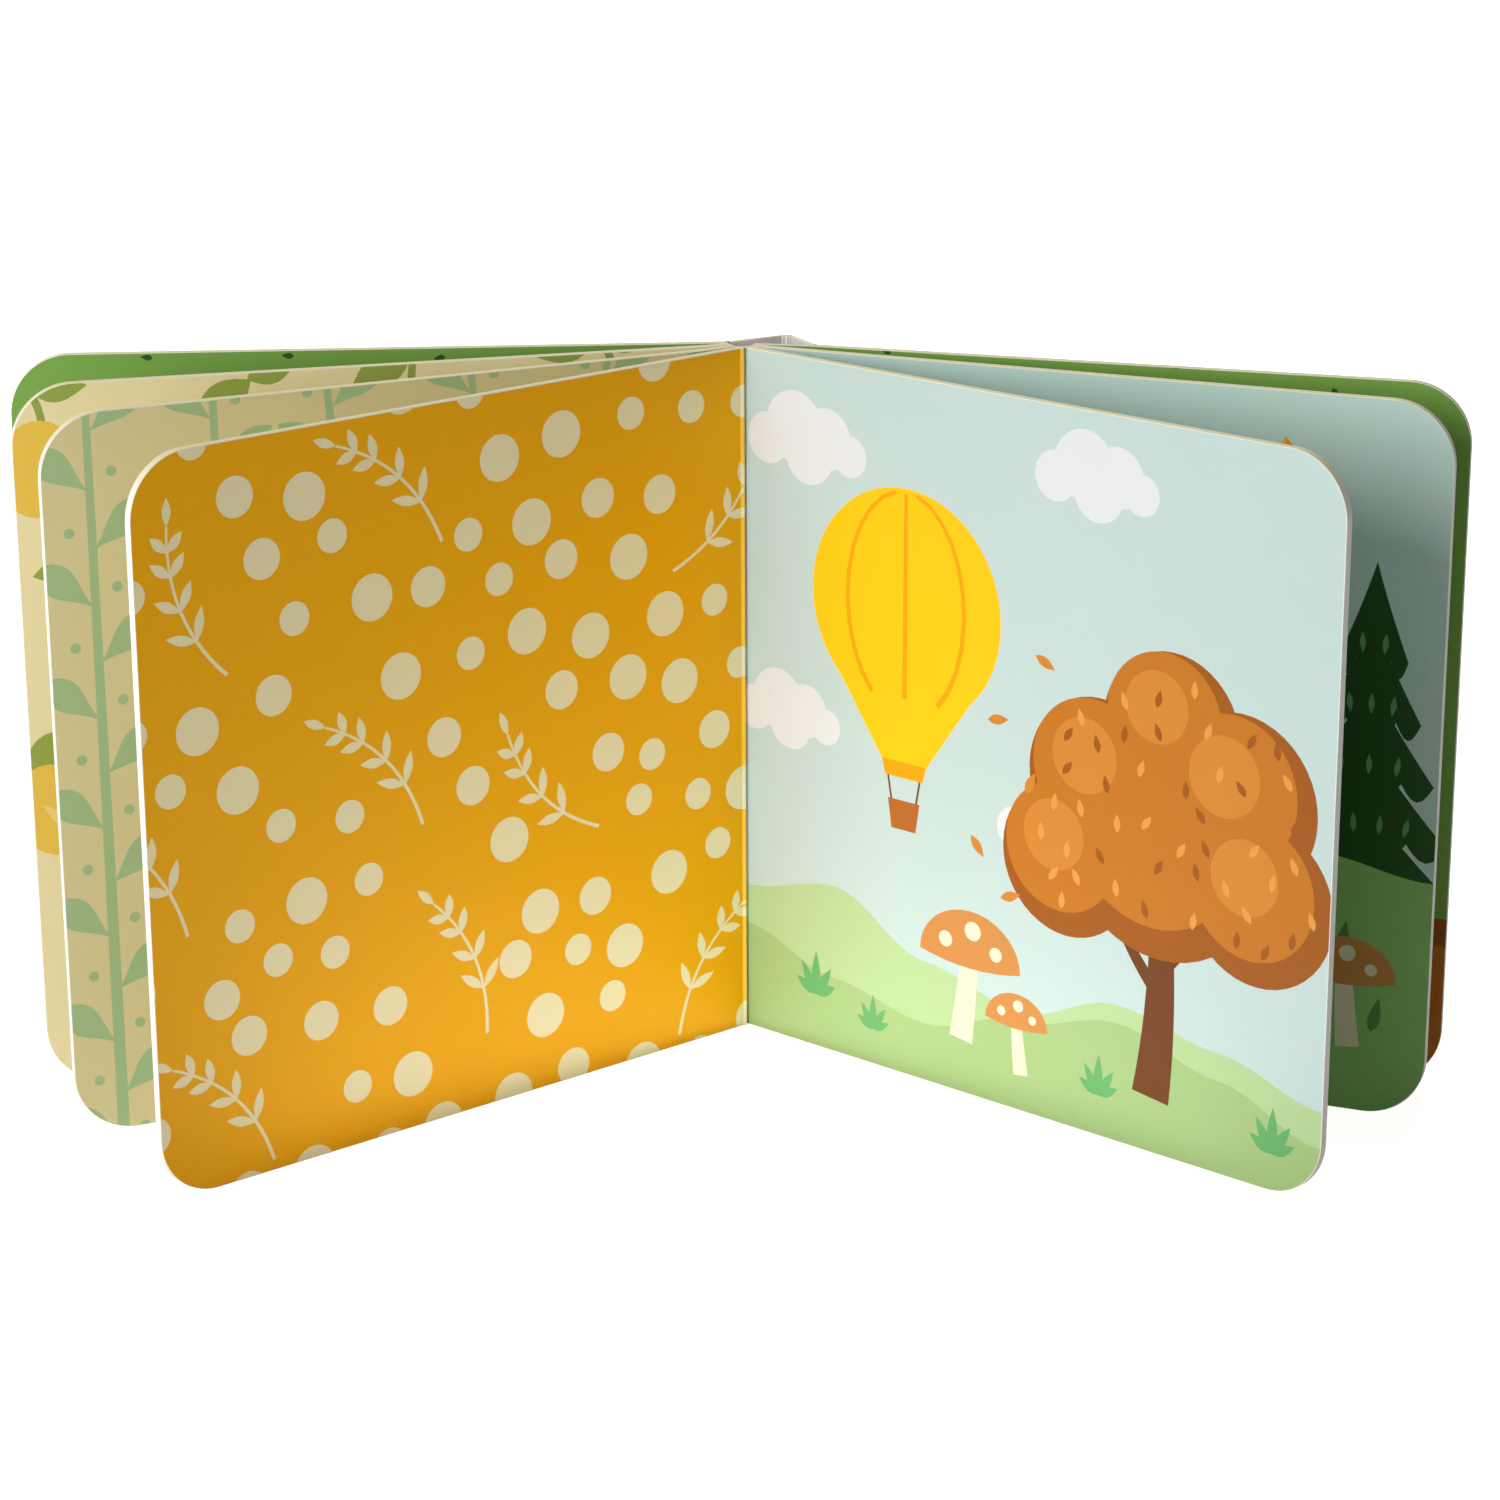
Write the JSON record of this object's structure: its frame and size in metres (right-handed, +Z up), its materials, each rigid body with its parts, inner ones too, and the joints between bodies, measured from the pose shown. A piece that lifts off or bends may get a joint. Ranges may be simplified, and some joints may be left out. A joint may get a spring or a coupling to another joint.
{
  "type": "board book",
  "caption": "Square children's board book, standing open and fanned, with thick rounded leaves and a hollow-backed wrap cover.",
  "frame": {"origin": "foot of the middle fold, halfway through its folded sheet, on the surface that the book stands on", "axes": "+Z up along the fold, +X across the open book towards the back cover, -Y towards the reader"},
  "size_m": [0.3012, 0.1113, 0.1524],
  "materials": {
    "printed_board": "white paperboard printed in flat colours under a satin film",
    "cover_card": "card printed plain green outside under a satin film, bare grey-white inside"
  },
  "bodies": {
    "pages": {"pages": "printed_board"},
    "front_cover": {"front_cover": "cover_card", "front_pastedown": "printed_board"},
    "back_cover": {"back_cover": "cover_card", "back_pastedown": "printed_board"},
    "spine": {"spine": "cover_card"},
    "hinge_strip": {"hinge_strip": "cover_card"}
  },
  "joints": [
    {"name": "front_cover_hinge", "type": "hinge", "parent": "pages", "child": "front_cover", "pos_m": [-0.00356, 0.00546, 0], "axis": [0, 0, -1], "range_deg": [-8, 75]},
    {"name": "back_cover_hinge", "type": "hinge", "parent": "pages", "child": "back_cover", "pos_m": [0.00319, 0.00279, 0], "axis": [0, 0, 1], "range_deg": [-6, 75]},
    {"name": "spine_swing", "type": "hinge", "parent": "pages", "child": "spine", "pos_m": [-0.00356, 0.00546, 0], "axis": [0, 0, 1], "range_deg": [-6, 62]},
    {"name": "hinge_strip_fold", "type": "hinge", "parent": "back_cover", "child": "hinge_strip", "pos_m": [0.01516, 0.00189, 0], "axis": [0, 0, 1], "range_deg": [-49, 5]}
  ],
  "couplings": [
    {"joint": "spine_swing", "follows": "back_cover_hinge", "ratio": 0.801},
    {"joint": "hinge_strip_fold", "follows": "back_cover_hinge", "ratio": -0.629}
  ]
}
